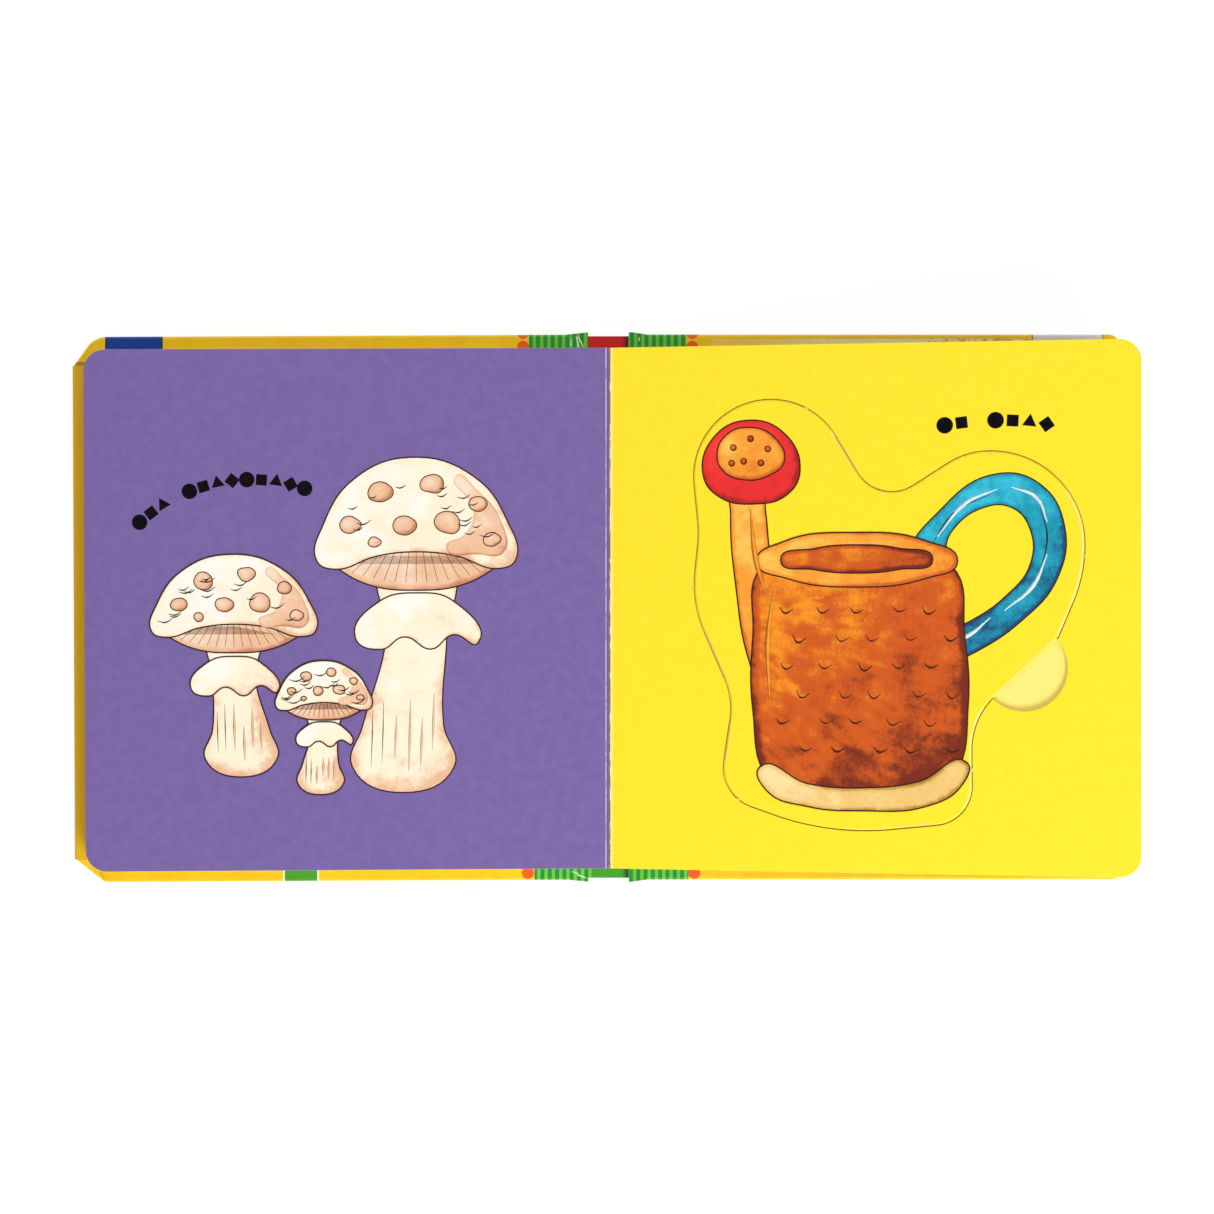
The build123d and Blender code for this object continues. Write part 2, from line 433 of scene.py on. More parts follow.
print("The leaves are", round((high.y - low.y) / MM, 2), "mm from tail to head")

# %% Leaves of both halves
EDGE_RADIUS = 0.12 * MM
CREASE_RADIUS = {"left": 0.45 * MM, "right": 0.3 * MM}
CREASE_REACH = 0.3 * MM


def at_crease(edge):
    """Whether an edge runs along the gutter at the top of the stack."""
    return all(
        abs(vertex.co.x - gutter.x) < CREASE_REACH and vertex.co.z > gutter.z - CREASE_REACH
        for vertex in edge.verts
    )


def make_leaves(side, node, prints):
    """The leaves of one half: softened, with print, card edges and hollow floors."""
    shape = merged_copy(node)
    soften(shape, CREASE_RADIUS[side], 3, at_crease)
    soften(shape, EDGE_RADIUS, 2)
    for face in shape.faces:
        face.material_index = finish_of(face, side)
    materials = [*prints, card_edge, hollow_floor, die_cut_edge]
    return make_piece(shape, f"{side}_leaves", materials, HALVES[side][1], [node])


make_leaves("left", "left_pages", (purple_page, yellow_page))
make_leaves("right", "right_pages", (yellow_page, purple_page))

# %% [markdown]
# A puzzle piece is the card that the die pushed out of its leaf, with the page's print on it. It
# is handled more than the leaf, so its printed edge is rounded more. A finish is picked for each
# turned face: cut card at the foot of the rounding, a pale rim of painted highlight on the right,
# the side that faces the key lamp, and print elsewhere. Its one long straight cut crosses the
# finger hollow, and shows card.

# %% Puzzle pieces
PIECE_RADIUS = 0.7 * MM
ROUNDED, EDGE_TURN = 0.99, 0.35
# How far a rounded face must turn to the right to get the painted highlight
LIT_SIDE = 0.82
LONG_CUT = 12 * MM
PRINT, LIT_RIM, CUT = range(3)


def edge_finish(face, printed):
    """Print, painted highlight or cut card, by how far a face of a piece turns from its print."""
    turned = face.normal.dot(printed)
    over_finger_hollow = turned < ROUNDED and face.calc_perimeter() > 2 * LONG_CUT
    if turned < EDGE_TURN or over_finger_hollow:
        return CUT
    sideways = face.normal - printed * turned
    return LIT_RIM if turned < ROUNDED and sideways.x > LIT_SIDE * sideways.length else PRINT


for number in range(1, 6):
    name = f"puzzle_piece_{number}"
    body = "front_half" if number < 3 else "back_half"
    shape = merged_copy(name)
    printed = page_plane(name)[0] * (-1 if body == "front_half" else 1)
    soften(shape, PIECE_RADIUS, 4, lambda edge: any(
        face.normal.dot(printed) > ROUNDED for face in edge.link_faces
    ))
    for face in shape.faces:
        face.material_index = edge_finish(face, printed)
    materials = [yellow_page, piece_highlight_rim, die_cut_edge]
    piece = make_piece(shape, f"lift_out_piece_{number}", materials, body, [name])
    even_shading(piece)

# %% [markdown]
# The pictures on the pages are watercolours, printed and varnished like the page. Wet paint dries
# darkest along its rim, pools in blotches and is laid on thicker in the shade, so a sum of those
# picks the tone out of three. How near a point is to the rim, and how far on the shaded side, are
# stored on each drawn shape. Lines, glints and small shapes are plain inks.

# %% Watercolour and ink materials
WASH, SHADE = "wash", "shade"
BLOOM, BLOTCH, PAPER_TOOTH = 9 * MM, 2.2 * MM, 0.6 * MM


def wash_material(name, light, middle, dark, rim=0.55, shade=0.7, pool=0.45):
    """Watercolour: dark at its rim and on its shaded side, blotchy in between, on a fine tooth."""
    material, add = new_material(name)
    place = add("ShaderNodeTexCoord", output="Object")
    tone = add("ShaderNodeMath", {
        0: add("ShaderNodeAttribute", output="Fac", attribute_name=WASH), 1: -rim, 2: rim - 0.3,
    }, operation="MULTIPLY_ADD")
    for pattern, share in (
        (add("ShaderNodeAttribute", output="Fac", attribute_name=SHADE), shade),
        (mottle(add, place, BLOOM, 0.5), pool),
        (mottle(add, place, BLOTCH, 0.5), pool * 0.4),
        (mottle(add, place, PAPER_TOOTH, 0.6), 0.12),
    ):
        inputs = {0: pattern, 1: share, 2: tone}
        tone = add("ShaderNodeMath", inputs, operation="MULTIPLY_ADD")
    first = add("ShaderNodeMapRange", {"Value": tone, "From Min": 0.0, "From Max": 0.5}, **SMOOTH)
    inputs = {FACTOR: first, COLOUR_A: ink(light), COLOUR_B: ink(middle)}
    colour = add("ShaderNodeMix", inputs, MIXED, **COLOURS)
    last = add("ShaderNodeMapRange", {"Value": tone, "From Min": 0.5, "From Max": 1.0}, **SMOOTH)
    inputs = {FACTOR: last, COLOUR_A: colour, COLOUR_B: ink(dark)}
    colour = add("ShaderNodeMix", inputs, MIXED, **COLOURS)
    inputs = {"Base Color": colour, "Roughness": SATIN, "Specular IOR Level": COATED}
    add(SURFACE, {"Surface": add(SHADER, inputs)})
    return material


# Washes: name, three tones, and the shares of rim, shade and pools. Inks: name, two close colours,
# grain in millimetres and roughness
PAINTS = {
    "line": plain_material("printed_brown_line", "#2c1712", "#44221a", 0.8, 0.45, gloss=0.15),
    "cream": wash_material("watercolour_cream", "#fffaf0", "#fdf1d4", "#ecba92", 0.35, 0.62, 0.45),
    "peach": wash_material("watercolour_peach", "#fbe2c8", "#f2c09a", "#c9865e", 0.4, 0.6, 0.4),
    "rust": wash_material("watercolour_rust", "#ff9a18", "#d2580a", "#782206", 0.5, 0.8, 0.5),
    "amber": wash_material("watercolour_amber", "#ffc552", "#fb9f2c", "#d8651a", 0.5, 0.6, 0.5),
    "red": wash_material("watercolour_red", "#fb3c30", "#ec2826", "#a01018", 0.4, 0.6, 0.4),
    "teal": wash_material("watercolour_teal", "#34c2dc", "#0e9cb8", "#0a4a78", 0.4, 0.5, 0.6),
    "tan": wash_material("watercolour_tan", "#fbe0a0", "#f0c572", "#b9822f", 0.5, 0.5, 0.4),
    "glint": plain_material("printed_pale_glint", "#c4e8f0", "#e8f8fa", 1.5, 0.45),
    "nick": plain_material("uncut_nick", "#fff27c", "#fff69a", 0.5, 0.45),
    "mark": plain_material("printed_dark_shapes", "#0b080d", "#151018", 1.0, 0.5, gloss=0.05),
}
PAINT_NAMES = list(PAINTS)
print("Paints:", ", ".join(PAINT_NAMES))

# %% [markdown]
# Each shape in a picture starts as a smooth closed curve through a few points, given in millimetres
# along the page from the gutter and up from its middle. A point with a third number is a sharp
# corner. A stroke is an open curve with a round section that thins towards both ends.

# %% Smooth curves through points
CLOSED_STEPS, STROKE_STEPS = 8, 5


def traced(points, closed, width=0.0, taper=0.25):
    """Mesh of a smooth curve through points in millimetres: a closed line, or a tapered stroke."""
    curve = bpy.data.curves.new("traced_line", "CURVE")
    curve.dimensions = "3D"
    curve.resolution_u = CLOSED_STEPS if closed else STROKE_STEPS
    spline = curve.splines.new("BEZIER")
    spline.bezier_points.add(len(points) - 1)
    spline.use_cyclic_u = closed
    for number, (target, point) in enumerate(zip(spline.bezier_points, points)):
        target.co = (point[0] * MM, point[1] * MM, 0)
        kind = "VECTOR" if len(point) > 2 else "AUTO"
        target.handle_left_type = target.handle_right_type = kind
        target.radius = taper if number in (0, len(points) - 1) else 1.0
    if not closed:
        curve.bevel_depth = width / 2
        curve.bevel_resolution = 0
        curve.use_fill_caps = True
    holder = bpy.data.objects.new("traced_line", curve)
    mesh = bpy.data.meshes.new_from_object(holder)
    bpy.data.objects.remove(holder)
    return mesh


print("Between two points a shape's edge has", CLOSED_STEPS, "steps, a stroke", STROKE_STEPS)

# %% [markdown]
# A picture is one mesh. Its shapes and strokes lie in thin layers, a hundredth of a millimetre
# apart, as overprints do, so that what is painted later covers what lies under it.

# %% Layers of a picture
LAYER = 0.012 * MM


def new_picture():
    """An empty bmesh for a picture, with its two shading layers."""
    picture = bmesh.new()
    picture.verts.layers.float.new(WASH)
    picture.verts.layers.float.new(SHADE)
    return picture


def add_layer(picture, shape, level):
    """Lifts a shape to its printed layer and adds it to the picture."""
    bmesh.ops.translate(shape, verts=shape.verts, vec=(0, 0, (level + 1) * LAYER))
    mesh = bpy.data.meshes.new("print_layer")
    shape.to_mesh(mesh)
    shape.free()
    picture.from_mesh(mesh)
    bpy.data.meshes.remove(mesh)


print("Printed layers are", round(LAYER / MM, 3), "mm apart")

# %% [markdown]
# A shape is filled, then inset twice: the outer ring becomes the brown ink line, and the next ring
# carries the darker rim of the wash. The painted light comes from the upper left, so each shape
# is shaded towards its lower right.

# %% Painted shapes
LINE_WIDTH = 0.42 * MM
PRINT_THICKNESS = 0.01 * MM
WELD = 0.01 * MM
LIT_FROM = Vector((-0.55, 0.83, 0))


def add_shape(picture, points, paint, level, rim=2.2, line=LINE_WIDTH):
    """A painted shape with its ink line and its darker rim, on one printed layer."""
    shape = new_picture()
    shape.from_mesh(traced(points, True))
    bmesh.ops.remove_doubles(shape, verts=shape.verts, dist=WELD)
    face = bmesh.ops.contextual_create(shape, geom=shape.edges)["faces"][0]
    if face.normal.z < 0:
        face.normal_flip()
    face.material_index = PAINT_NAMES.index(paint)
    options = {"faces": [face], "use_boundary": True, "use_even_offset": False}
    if line:
        for band in bmesh.ops.inset_region(shape, thickness=line, **options)["faces"]:
            band.material_index = PAINT_NAMES.index("line")
    bmesh.ops.inset_region(shape, thickness=rim * MM, **options)
    wash, shade = (shape.verts.layers.float[name] for name in (WASH, SHADE))
    for vertex in face.verts:
        vertex[wash] = 1.0
    slopes = [vertex.co.dot(LIT_FROM) for vertex in shape.verts]
    lowest, highest = min(slopes), max(slopes)
    for vertex, slope in zip(shape.verts, slopes):
        vertex[shade] = (highest - slope) / (highest - lowest)
    bmesh.ops.solidify(shape, geom=shape.faces[:], thickness=PRINT_THICKNESS)
    add_layer(picture, shape, level)


print("An ink line is", round(LINE_WIDTH / MM, 2), "mm wide")

# %% [markdown]
# A stroke is pressed flat to the thickness of print. A finished picture is turned and moved as a
# whole onto its page, the way its half points and the way its page leans.

# %% Strokes, and the way onto a page
STROKE_FLATNESS = 0.02


def add_stroke(picture, points, paint, level, width=0.5, taper=0.25):
    """A tapered stroke, flattened to the thickness of print."""
    shape = new_picture()
    shape.from_mesh(traced(points, False, width * MM, taper))
    bmesh.ops.scale(shape, verts=shape.verts, vec=(1, 1, STROKE_FLATNESS))
    for face in shape.faces:
        face.material_index = PAINT_NAMES.index(paint)
    add_layer(picture, shape, level)


def page_place(side):
    """Matrix from page coordinates, right and up from the gutter, to the leaning page."""
    normal, out = page_normals[side], joint_edges[side][1]
    right = out * math.copysign(1, out.x)
    right = (right - normal * right.dot(normal)).normalized()
    turn = Matrix((right, normal.cross(right), normal)).transposed().to_4x4()
    return Matrix.Translation((gutter.x, 0, gutter.z)) @ turn


def finish_picture(picture, name, side):
    """Lays a picture on its page."""
    bmesh.ops.transform(picture, matrix=page_place(side), verts=picture.verts)
    return make_piece(picture, name, list(PAINTS.values()), HALVES[side][1])


for side in HALVES:
    print(f"The {side} page starts at", [round(v / MM, 2) for v in page_place(side).translation])

# %% [markdown]
# The left-hand page has a clump of pale mushrooms. Each is a stem, a skirt, a fan of gills and a
# domed cap with warts, drawn from the back of the clump to the front. Outlines are written once
# for a mushroom of unit size and stretched to each one.

# %% Outlines of a mushroom of unit size
GILLS = [(-0.94, 0.04, 0), (-0.5, -0.2), (0, -0.26), (0.5, -0.2), (0.94, 0.04, 0), (0, 0.2)]
DOME = [
    (-1, 0.02), (-0.93, 0.38), (-0.62, 0.8), (-0.05, 1), (0.58, 0.82), (0.92, 0.4), (1, 0.02),
    (0.82, -0.06), (0.4, 0.06), (0, 0.1), (-0.4, 0.06), (-0.82, -0.06),
]
GLAZE = [
    (0.3, 0.14), (0.62, 0.08), (0.88, 0.1), (0.86, 0.38), (0.6, 0.7), (0.4, 0.82), (0.58, 0.5),
    (0.5, 0.28),
]
SKIRT = [
    (-0.9, 0.7), (0, 0.9), (0.9, 0.7), (1.5, -0.35), (0.9, -0.15), (0.35, -0.5), (-0.3, -0.2),
    (-0.85, -0.5), (-1.5, -0.2),
]
# Warts: place on the cap and size
WARTS = [
    (-0.66, 0.36, 0.11), (-0.36, 0.66, 0.13), (-0.12, 0.36, 0.12), (0.16, 0.74, 0.12),
    (0.32, 0.38, 0.14), (0.62, 0.56, 0.1), (0.76, 0.22, 0.09), (-0.42, 0.2, 0.07),
]
WART_LINE = 0.3 * MM


def stretched(points, middle, wide, tall):
    """Points of a unit outline, moved to a place and stretched."""
    return [(middle[0] + x * wide, middle[1] + y * tall, *sharp) for x, y, *sharp in points]


print("A cap's outline has", len(DOME), "points")

# %% Stem and gills
# Where the strokes stand on a stem, as shares of its width
STEM_STROKES = (0.2, 0.3, 0.42, 0.55, 0.66, 0.77)


def draw_stem(picture, foot, cap, stem, level, dice):
    """A stem with a swollen foot, and strokes that lean with it."""
    (foot_x, foot_y), (cap_x, cap_y) = foot, cap
    half, upper = stem / 2, (cap_y * 2 + foot_y) / 3
    add_shape(picture, [
        (cap_x - half * 0.8, cap_y), (cap_x - half * 0.75, upper),
        (foot_x - half, foot_y + stem * 0.7), (foot_x - half * 1.25, foot_y + stem * 0.2),
        (foot_x, foot_y - stem * 0.12),
        (foot_x + half * 1.25, foot_y + stem * 0.2), (foot_x + half, foot_y + stem * 0.7),
        (cap_x + half * 0.75, upper), (cap_x + half * 0.8, cap_y),
    ], "cream", level, stem * 0.2)
    sway = (cap_x - foot_x) * 0.3
    for share in STEM_STROKES:
        x = foot_x + (share - 0.5) * stem * 1.3
        start = foot_y + stem * dice.uniform(0.15, 0.4)
        end = start + (cap_y - foot_y) * dice.uniform(0.18, 0.35)
        points = [(x, start), (x + sway * 0.3, (start + end) / 2), (x + sway * 0.5, end)]
        paint, width = ("peach", 0.8) if share > 0.4 else ("line", 0.3)
        add_stroke(picture, points, paint, level + 1, width)


def draw_gills(picture, cap, spread, rise, level):
    """The underside of the cap, with a fan of gills."""
    add_shape(picture, stretched(GILLS, cap, spread, rise), "peach", level + 2, spread * 0.06)
    for number in range(-7, 8):
        share = number / 8
        gill = [(share * 0.55, 0.12), (share * 0.86, 0.16 * share * share - 0.18)]
        add_stroke(picture, stretched(gill, cap, spread, rise), "line", level + 3, 0.28, 0.5)


print("A stem has", len(STEM_STROKES), "strokes that lean with it")

# %% Cap, and a whole mushroom
CURLS = 16


def draw_dome(picture, cap, spread, rise, level, dice):
    """The top of the cap: glaze on its shaded side, warts, and short curled strokes."""
    cap_x, cap_y = cap
    add_shape(picture, stretched(DOME, cap, spread, rise), "cream", level + 4, spread * 0.05)
    add_shape(picture, stretched(GLAZE, cap, spread, rise), "peach", level + 5, spread * 0.03, 0)
    for x, y, size in WARTS:
        ring = [
            (math.cos(turn) * dice.uniform(0.85, 1.1), math.sin(turn) * dice.uniform(0.7, 0.9))
            for turn in (math.tau * step / 7 for step in range(7))
        ]
        size *= spread
        wart = stretched(ring, (cap_x + x * spread, cap_y + y * rise), size, size)
        add_shape(picture, wart, "peach", level + 6, size * 0.4, WART_LINE)
    for _ in range(CURLS):
        turn = dice.uniform(0.15, math.pi - 0.15)
        reach = dice.uniform(0.45, 0.9)
        x = cap_x + math.cos(turn) * spread * reach
        y = cap_y + rise * (0.08 + 0.85 * math.sin(turn) * reach)
        size = dice.uniform(1.2, 2.4)
        points = [(x - size, y - size * 0.3), (x, y - size * 0.5), (x + size, y + size * 0.1)]
        add_stroke(picture, points, "line", level + 7, 0.42)


def draw_mushroom(picture, foot, cap, spread, rise, stem, level, seed):
    """One mushroom: foot is the stem's base, cap is the middle of the cap's rim."""
    dice = random.Random(seed)
    draw_stem(picture, foot, cap, stem, level, dice)
    draw_gills(picture, cap, spread, rise, level)
    skirt = stretched(SKIRT, (cap[0], cap[1] - rise * 0.62), stem / 2, stem / 2)
    add_shape(picture, skirt, "cream", level + 3, stem / 2 * 0.08)
    draw_dome(picture, cap, spread, rise, level, dice)


print("A cap has", len(WARTS), "warts and", CURLS, "curled strokes")

# %% Clump of mushrooms on the left-hand page
mushrooms = new_picture()
draw_mushroom(mushrooms, (-60, -51), (-56, 13), 29, 31, 24, 0, 3)
draw_mushroom(mushrooms, (-107, -47), (-109, -7), 24, 23, 17, 10, 5)
draw_mushroom(mushrooms, (-84, -53), (-83, -29), 14, 14, 11, 20, 8)
finish_picture(mushrooms, "mushroom_picture", "left")

# %% [markdown]
# The puzzle piece has a rusty watering can: spout and red rose to the left, teal handle to the
# right, on a tan base. The handle goes first, then the spout, then the body that covers their ends.
# All of it stays inside the cut, because print can't bridge the gap round the piece.

# %% Handle, spout and rose
HANDLE = [
    (88, 12), (97, 29), (112, 38), (124, 35), (131, 23), (129, 8), (119, -4), (104, -14), (94, -18),
    (93, -9), (104, -4), (114, 3), (121, 12), (121, 22), (116, 28), (108, 28), (99, 21), (95, 10),
]
SPOUT = [
    (50, -34), (41, -16), (37, 6), (35.5, 26), (36.5, 36), (44.5, 38), (46, 28), (48, 12),
    (53, -2), (58, -10),
]
ROSE = [
    (27.5, 38), (30.5, 49), (40.5, 54), (51.5, 50), (56, 39), (52, 32), (42.5, 29.5), (32.5, 31.5),
]
ROSE_FACE = [
    (31.5, 44), (34.5, 50), (41.5, 52), (48.5, 49), (51.5, 42), (46.5, 37.5), (39.5, 36.5),
    (33.5, 39),
]
ROSE_HOLES = [(36.5, 46), (41.5, 48.5), (46.5, 45.5), (39.5, 42), (44.5, 41.5), (36, 41.5)]
HOLE_LINE = 0.25 * MM

can = new_picture()
add_shape(can, HANDLE, "teal", 0, 1.0)
for points in (
    [(95, 20), (103, 29.5), (112, 33.5)], [(116, 34), (123, 31), (126, 24)],
    [(126, 15), (122, 6), (114, -1)], [(110, -3), (104, -8), (97, -11)],
):
    add_stroke(can, points, "glint", 2, 1.3)
for points in ([(93, 17), (100, 27), (110, 32)], [(124, 28), (126, 20), (124, 10)]):
    add_stroke(can, points, "line", 2, 0.5)
add_shape(can, SPOUT, "amber", 3, 1.2)
add_shape(can, ROSE, "red", 5, 2.0)
add_shape(can, ROSE_FACE, "amber", 6, 1.2)
for x, y in ROSE_HOLES:
    add_shape(can, [(x - 1, y), (x, y + 1), (x + 1, y), (x, y - 1)], "rust", 7, 0.3, HOLE_LINE)
print("Handle, spout and rose:", len(can.faces), "faces")

# %% Body of the can
BODY = [
    (45, 12), (42, -8), (42, -30), (47, -50), (60, -55), (76, -56), (91, -54), (100, -48),
    (104, -28), (103, -8), (99, 12), (72, 16),
]
BASE = [
    (44, -46), (46, -53), (58, -57.5), (74, -58.5), (92, -57), (102, -51), (103.5, -44),
    (90, -49.5), (74, -51.5), (58, -50.5),
]
BRIM = [(43, 13), (51, 19), (71, 21.5), (92, 19), (101, 13), (92, 8), (72, 5.5), (52, 8)]
MOUTH = [
    (50, 13.5), (60, 17), (72, 18), (84, 17), (94, 13.5), (84, 10.5), (72, 9.5), (60, 10.5),
]
add_shape(can, BODY, "rust", 9, 2.4)
add_shape(can, BASE, "tan", 11, 1.4)
add_shape(can, BRIM, "amber", 12, 1.2)
add_shape(can, MOUTH, "rust", 13, 1.2)
print("With its body:", len(can.faces), "faces")

# %% [markdown]
# Rows of small curved dents and a few light strokes give the can its hammered look. The piece
# still hangs on five uncut nicks, which show as pale spots on its outline.

# %% Dents, light strokes and nicks
DENT_ROWS = (0, -8, -16, -24, -32, -40)
# Nicks: place on the outline, and half the way across the cut
NICKS = [
    (57.7, 57.0, 0.5, -0.3), (136.2, 14.4, 0, 0.6), (104.8, -46.3, 0, 0.6),
    (37.9, -55.5, 0.6, -0.2), (24.8, 5.4, 0, 0.6),
]
dice = random.Random(11)
for row, y in enumerate(DENT_ROWS):
    for column in range(5):
        x = 50 + column * 10.5 + (row % 2) * 5 + dice.uniform(-1.5, 1.5)
        dip = dice.uniform(1.2, 2.2)
        points = [(x, y), (x + 1.6, y - dip), (x + 4, y - dip * 0.4)]
        add_stroke(can, points, "line", 14, dice.uniform(0.35, 0.6))
for points in ([(48, 4), (46.5, -10), (47, -26)], [(41.5, 28), (43, 14), (47, 0)]):
    add_stroke(can, points, "amber", 15, 1.6)
for x, y, dx, dy in NICKS:
    add_stroke(can, [(x - dx, y - dy), (x, y), (x + dx, y + dy)], "nick", 1, 0.5, 0.6)
finish_picture(can, "watering_can_picture", "right")

# %% [markdown]
# Over each picture stands an arched row of small dark shapes, in groups, printed in one ink.
# They are polygons on a circle: many sides for a round one, and sharp corners for the others.

# %% Rows of small shapes
# Sides of each kind, and where its first corner points
KINDS = {
    "round": (10, 0), "square": (4, math.pi / 4), "triangle": (3, math.pi / 2), "diamond": (4, 0),
}


def shape_row(name, side, centre, radius, start, pitch, groups, size):
    """Groups of small shapes along an arc. Angles are from straight up, in degrees."""
    row = new_picture()
    place = 0
    for group in groups:
        for number in range(group):
            sides, tip = list(KINDS.values())[number % len(KINDS)]
            angle = math.radians(start + pitch * place)
            x, y = centre[0] + radius * math.sin(angle), centre[1] + radius * math.cos(angle)
            turns = (tip - angle + math.tau * step / sides for step in range(sides))
            sharp = () if sides > 4 else (0,)
            ring = [(math.cos(turn), math.sin(turn), *sharp) for turn in turns]
            add_shape(row, stretched(ring, (x, y), size, size), "mark", 0, size * 0.2, 0)
            place += 1
        place += 1
    finish_picture(row, name, side)


shape_row("left_shape_row", "left", (-104, -10.7), 48.2, -41.8, 5.07, (3, 9), 2.25)
shape_row("right_shape_row", "right", (111.5, -28), 81, -10.2, 3.4, (2, 4), 2.35)

# %% [markdown]
# The case is covered by one sheet of laminated paper: yellow, with bands of green stripes and
# orange dots beside the spine, and a few plain blocks. It has cracked white where it folds into
# the joints, and it is scuffed along the head beside the raised leaves. The film on it is glossier
# than the pages' varnish. The print is made of masks: each is 1 where a colour is laid down. A few
# masks lay painted shade instead: on the spine, along the front fore edge and at its two corners.

# %% Masks of the case print
PRINT_PLACE = "rest_place"
FADED, TEAR = 6 * MM, 1.2 * MM

laminated, add = new_material("laminated_case_paper")
place = add("ShaderNodeAttribute", output="Vector", attribute_name=PRINT_PLACE)
across = add("ShaderNodeSeparateXYZ", {"Vector": place})
up = across.node.outputs["Y"]


def block_mask(x_span, y_span, *others, ragged=0.0):
    """1 inside a rectangle of the print and of any other masks. Its edges can be torn."""
    masks = list(others)
    for axis, (start, end) in ((across, x_span), (up, y_span)):
        if ragged:
            torn = mottle(add, place, TEAR, 1.0, (1, 0.4, 1), 5)
            shifted = {0: torn, 1: ragged * MM, 2: axis}
            axis = add("ShaderNodeMath", shifted, operation="MULTIPLY_ADD")
        inside = {0: axis, 1: (start + end) / 2 * MM, 2: (end - start) / 2 * MM}
        masks.append(add("ShaderNodeMath", inside, operation="COMPARE"))
    mask = masks[0]
    for other in masks[1:]:
        mask = add("ShaderNodeMath", {0: mask, 1: other}, operation="MULTIPLY")
    return mask


def nearest_line(axis, first, period):
    """Distance along an axis from the nearest of a row of lines, in metres."""
    moved = add("ShaderNodeMath", {0: axis, 1: first * MM}, operation="SUBTRACT")
    inputs = {0: moved, 1: period * MM / 2, 2: -period * MM / 2}
    return add("ShaderNodeMath", inputs, operation="WRAP")


print("The case print is drawn from the attribute", PRINT_PLACE)

# %% What is printed on the case, in millimetres on the open book
HEAD, TAIL = (12, 90), (-90, -12)
SPINE_AT_HEAD, SPINE_AT_TAIL = (-5.6, 6.2), (-4.4, 6.2)
STRIPE_PERIOD, STRIPE_WIDTH = 2.14, 0.95
DOT_RADIUS, DOT_PITCH, DOT_ROOM = 1.78, 4.15, 3

# Plain blocks, and two of painted shade: span across the open book, span from tail to head, colour
blocks = [
    ((-147.3, -130.4), (50, 90), "#04203f"), ((-146.9, -130.8), (50, 90), "#003f9c"),
    ((-95.1, -84.6), (-90, -55), "#f6f4e4"), ((-94.6, -85.1), (-90, -55), "#4aa526"),
    ((124.5, 145.4), (55, 90), "#8d7426"), ((124.8, 145.1), (55, 90), "#f0e9db"),
    (SPINE_AT_TAIL, TAIL, "#46a126"), (SPINE_AT_HEAD, HEAD, "#d41617"),
    # Painted shade: the turn-in is darker where the left-hand leaves would shade it, and a darker line
    # beyond its head end stands for the shade at the fold of that corner.
    ((-160, -152), (-74.2, 70.8), "#e9b50d"), ((-160, -152), (70.8, 71.9), "#b8860e"),
]
# Bands: span from tail to head, span across, first pale stripe, middle of the dots both ways
bands = [
    (HEAD, (-23.0, -5.6), -21.4, -24.7, 76.3), (HEAD, (6.2, 23.2), 8.3, 24.9, 76.3),
    (TAIL, (-21.4, -4.4), -20.1, -23.3, -78.0), (TAIL, (6.2, 23.8), 8.0, 25.5, -78.0),
]
# Cracks, and one fold drawn darker as painted shade: place across and along, slope across per
# millimetre up, half height, half width, colour
CRACKED, FOLD_SHADE = "#f4fff0", "#dcae12"
cracks = [
    (-8.8, 77.8, -0.2, 1.5, 0.15, CRACKED), (-7.8, 77.8, -0.5, 1.5, 0.17, CRACKED),
    (-10.6, 77.5, 0, 0.9, 0.1, CRACKED), (9.3, 78.6, 0.2, 0.5, 0.14, CRACKED),
    (-7.6, -79.0, -2.5, 0.5, 0.35, CRACKED), (-9.4, -77.9, -3.0, 0.3, 0.3, CRACKED),
    # Painted shade at the fold of the front cover's lower corner
    (-148.2, -78.6, -0.54, 1.2, 0.22, FOLD_SHADE),
]
print("Case print:", len(blocks), "blocks,", len(bands), "bands and", len(cracks), "cracks")

# %% [markdown]
# The colours go down in layers, each over those before it, as a screen printer lays them: first
# faint clouds in the yellow and the plain blocks, then a painted shadow on the spine, darker
# towards its right end where the joint strip stands above it, then the bands.

# %% Blocks, painted shadow on the spine, and striped bands
layers = [(mottle(add, place, FADED), ink("#ffd216"))]
for x_span, y_span, hexed in blocks:
    layers.append((block_mask(x_span, y_span), ink(hexed)))
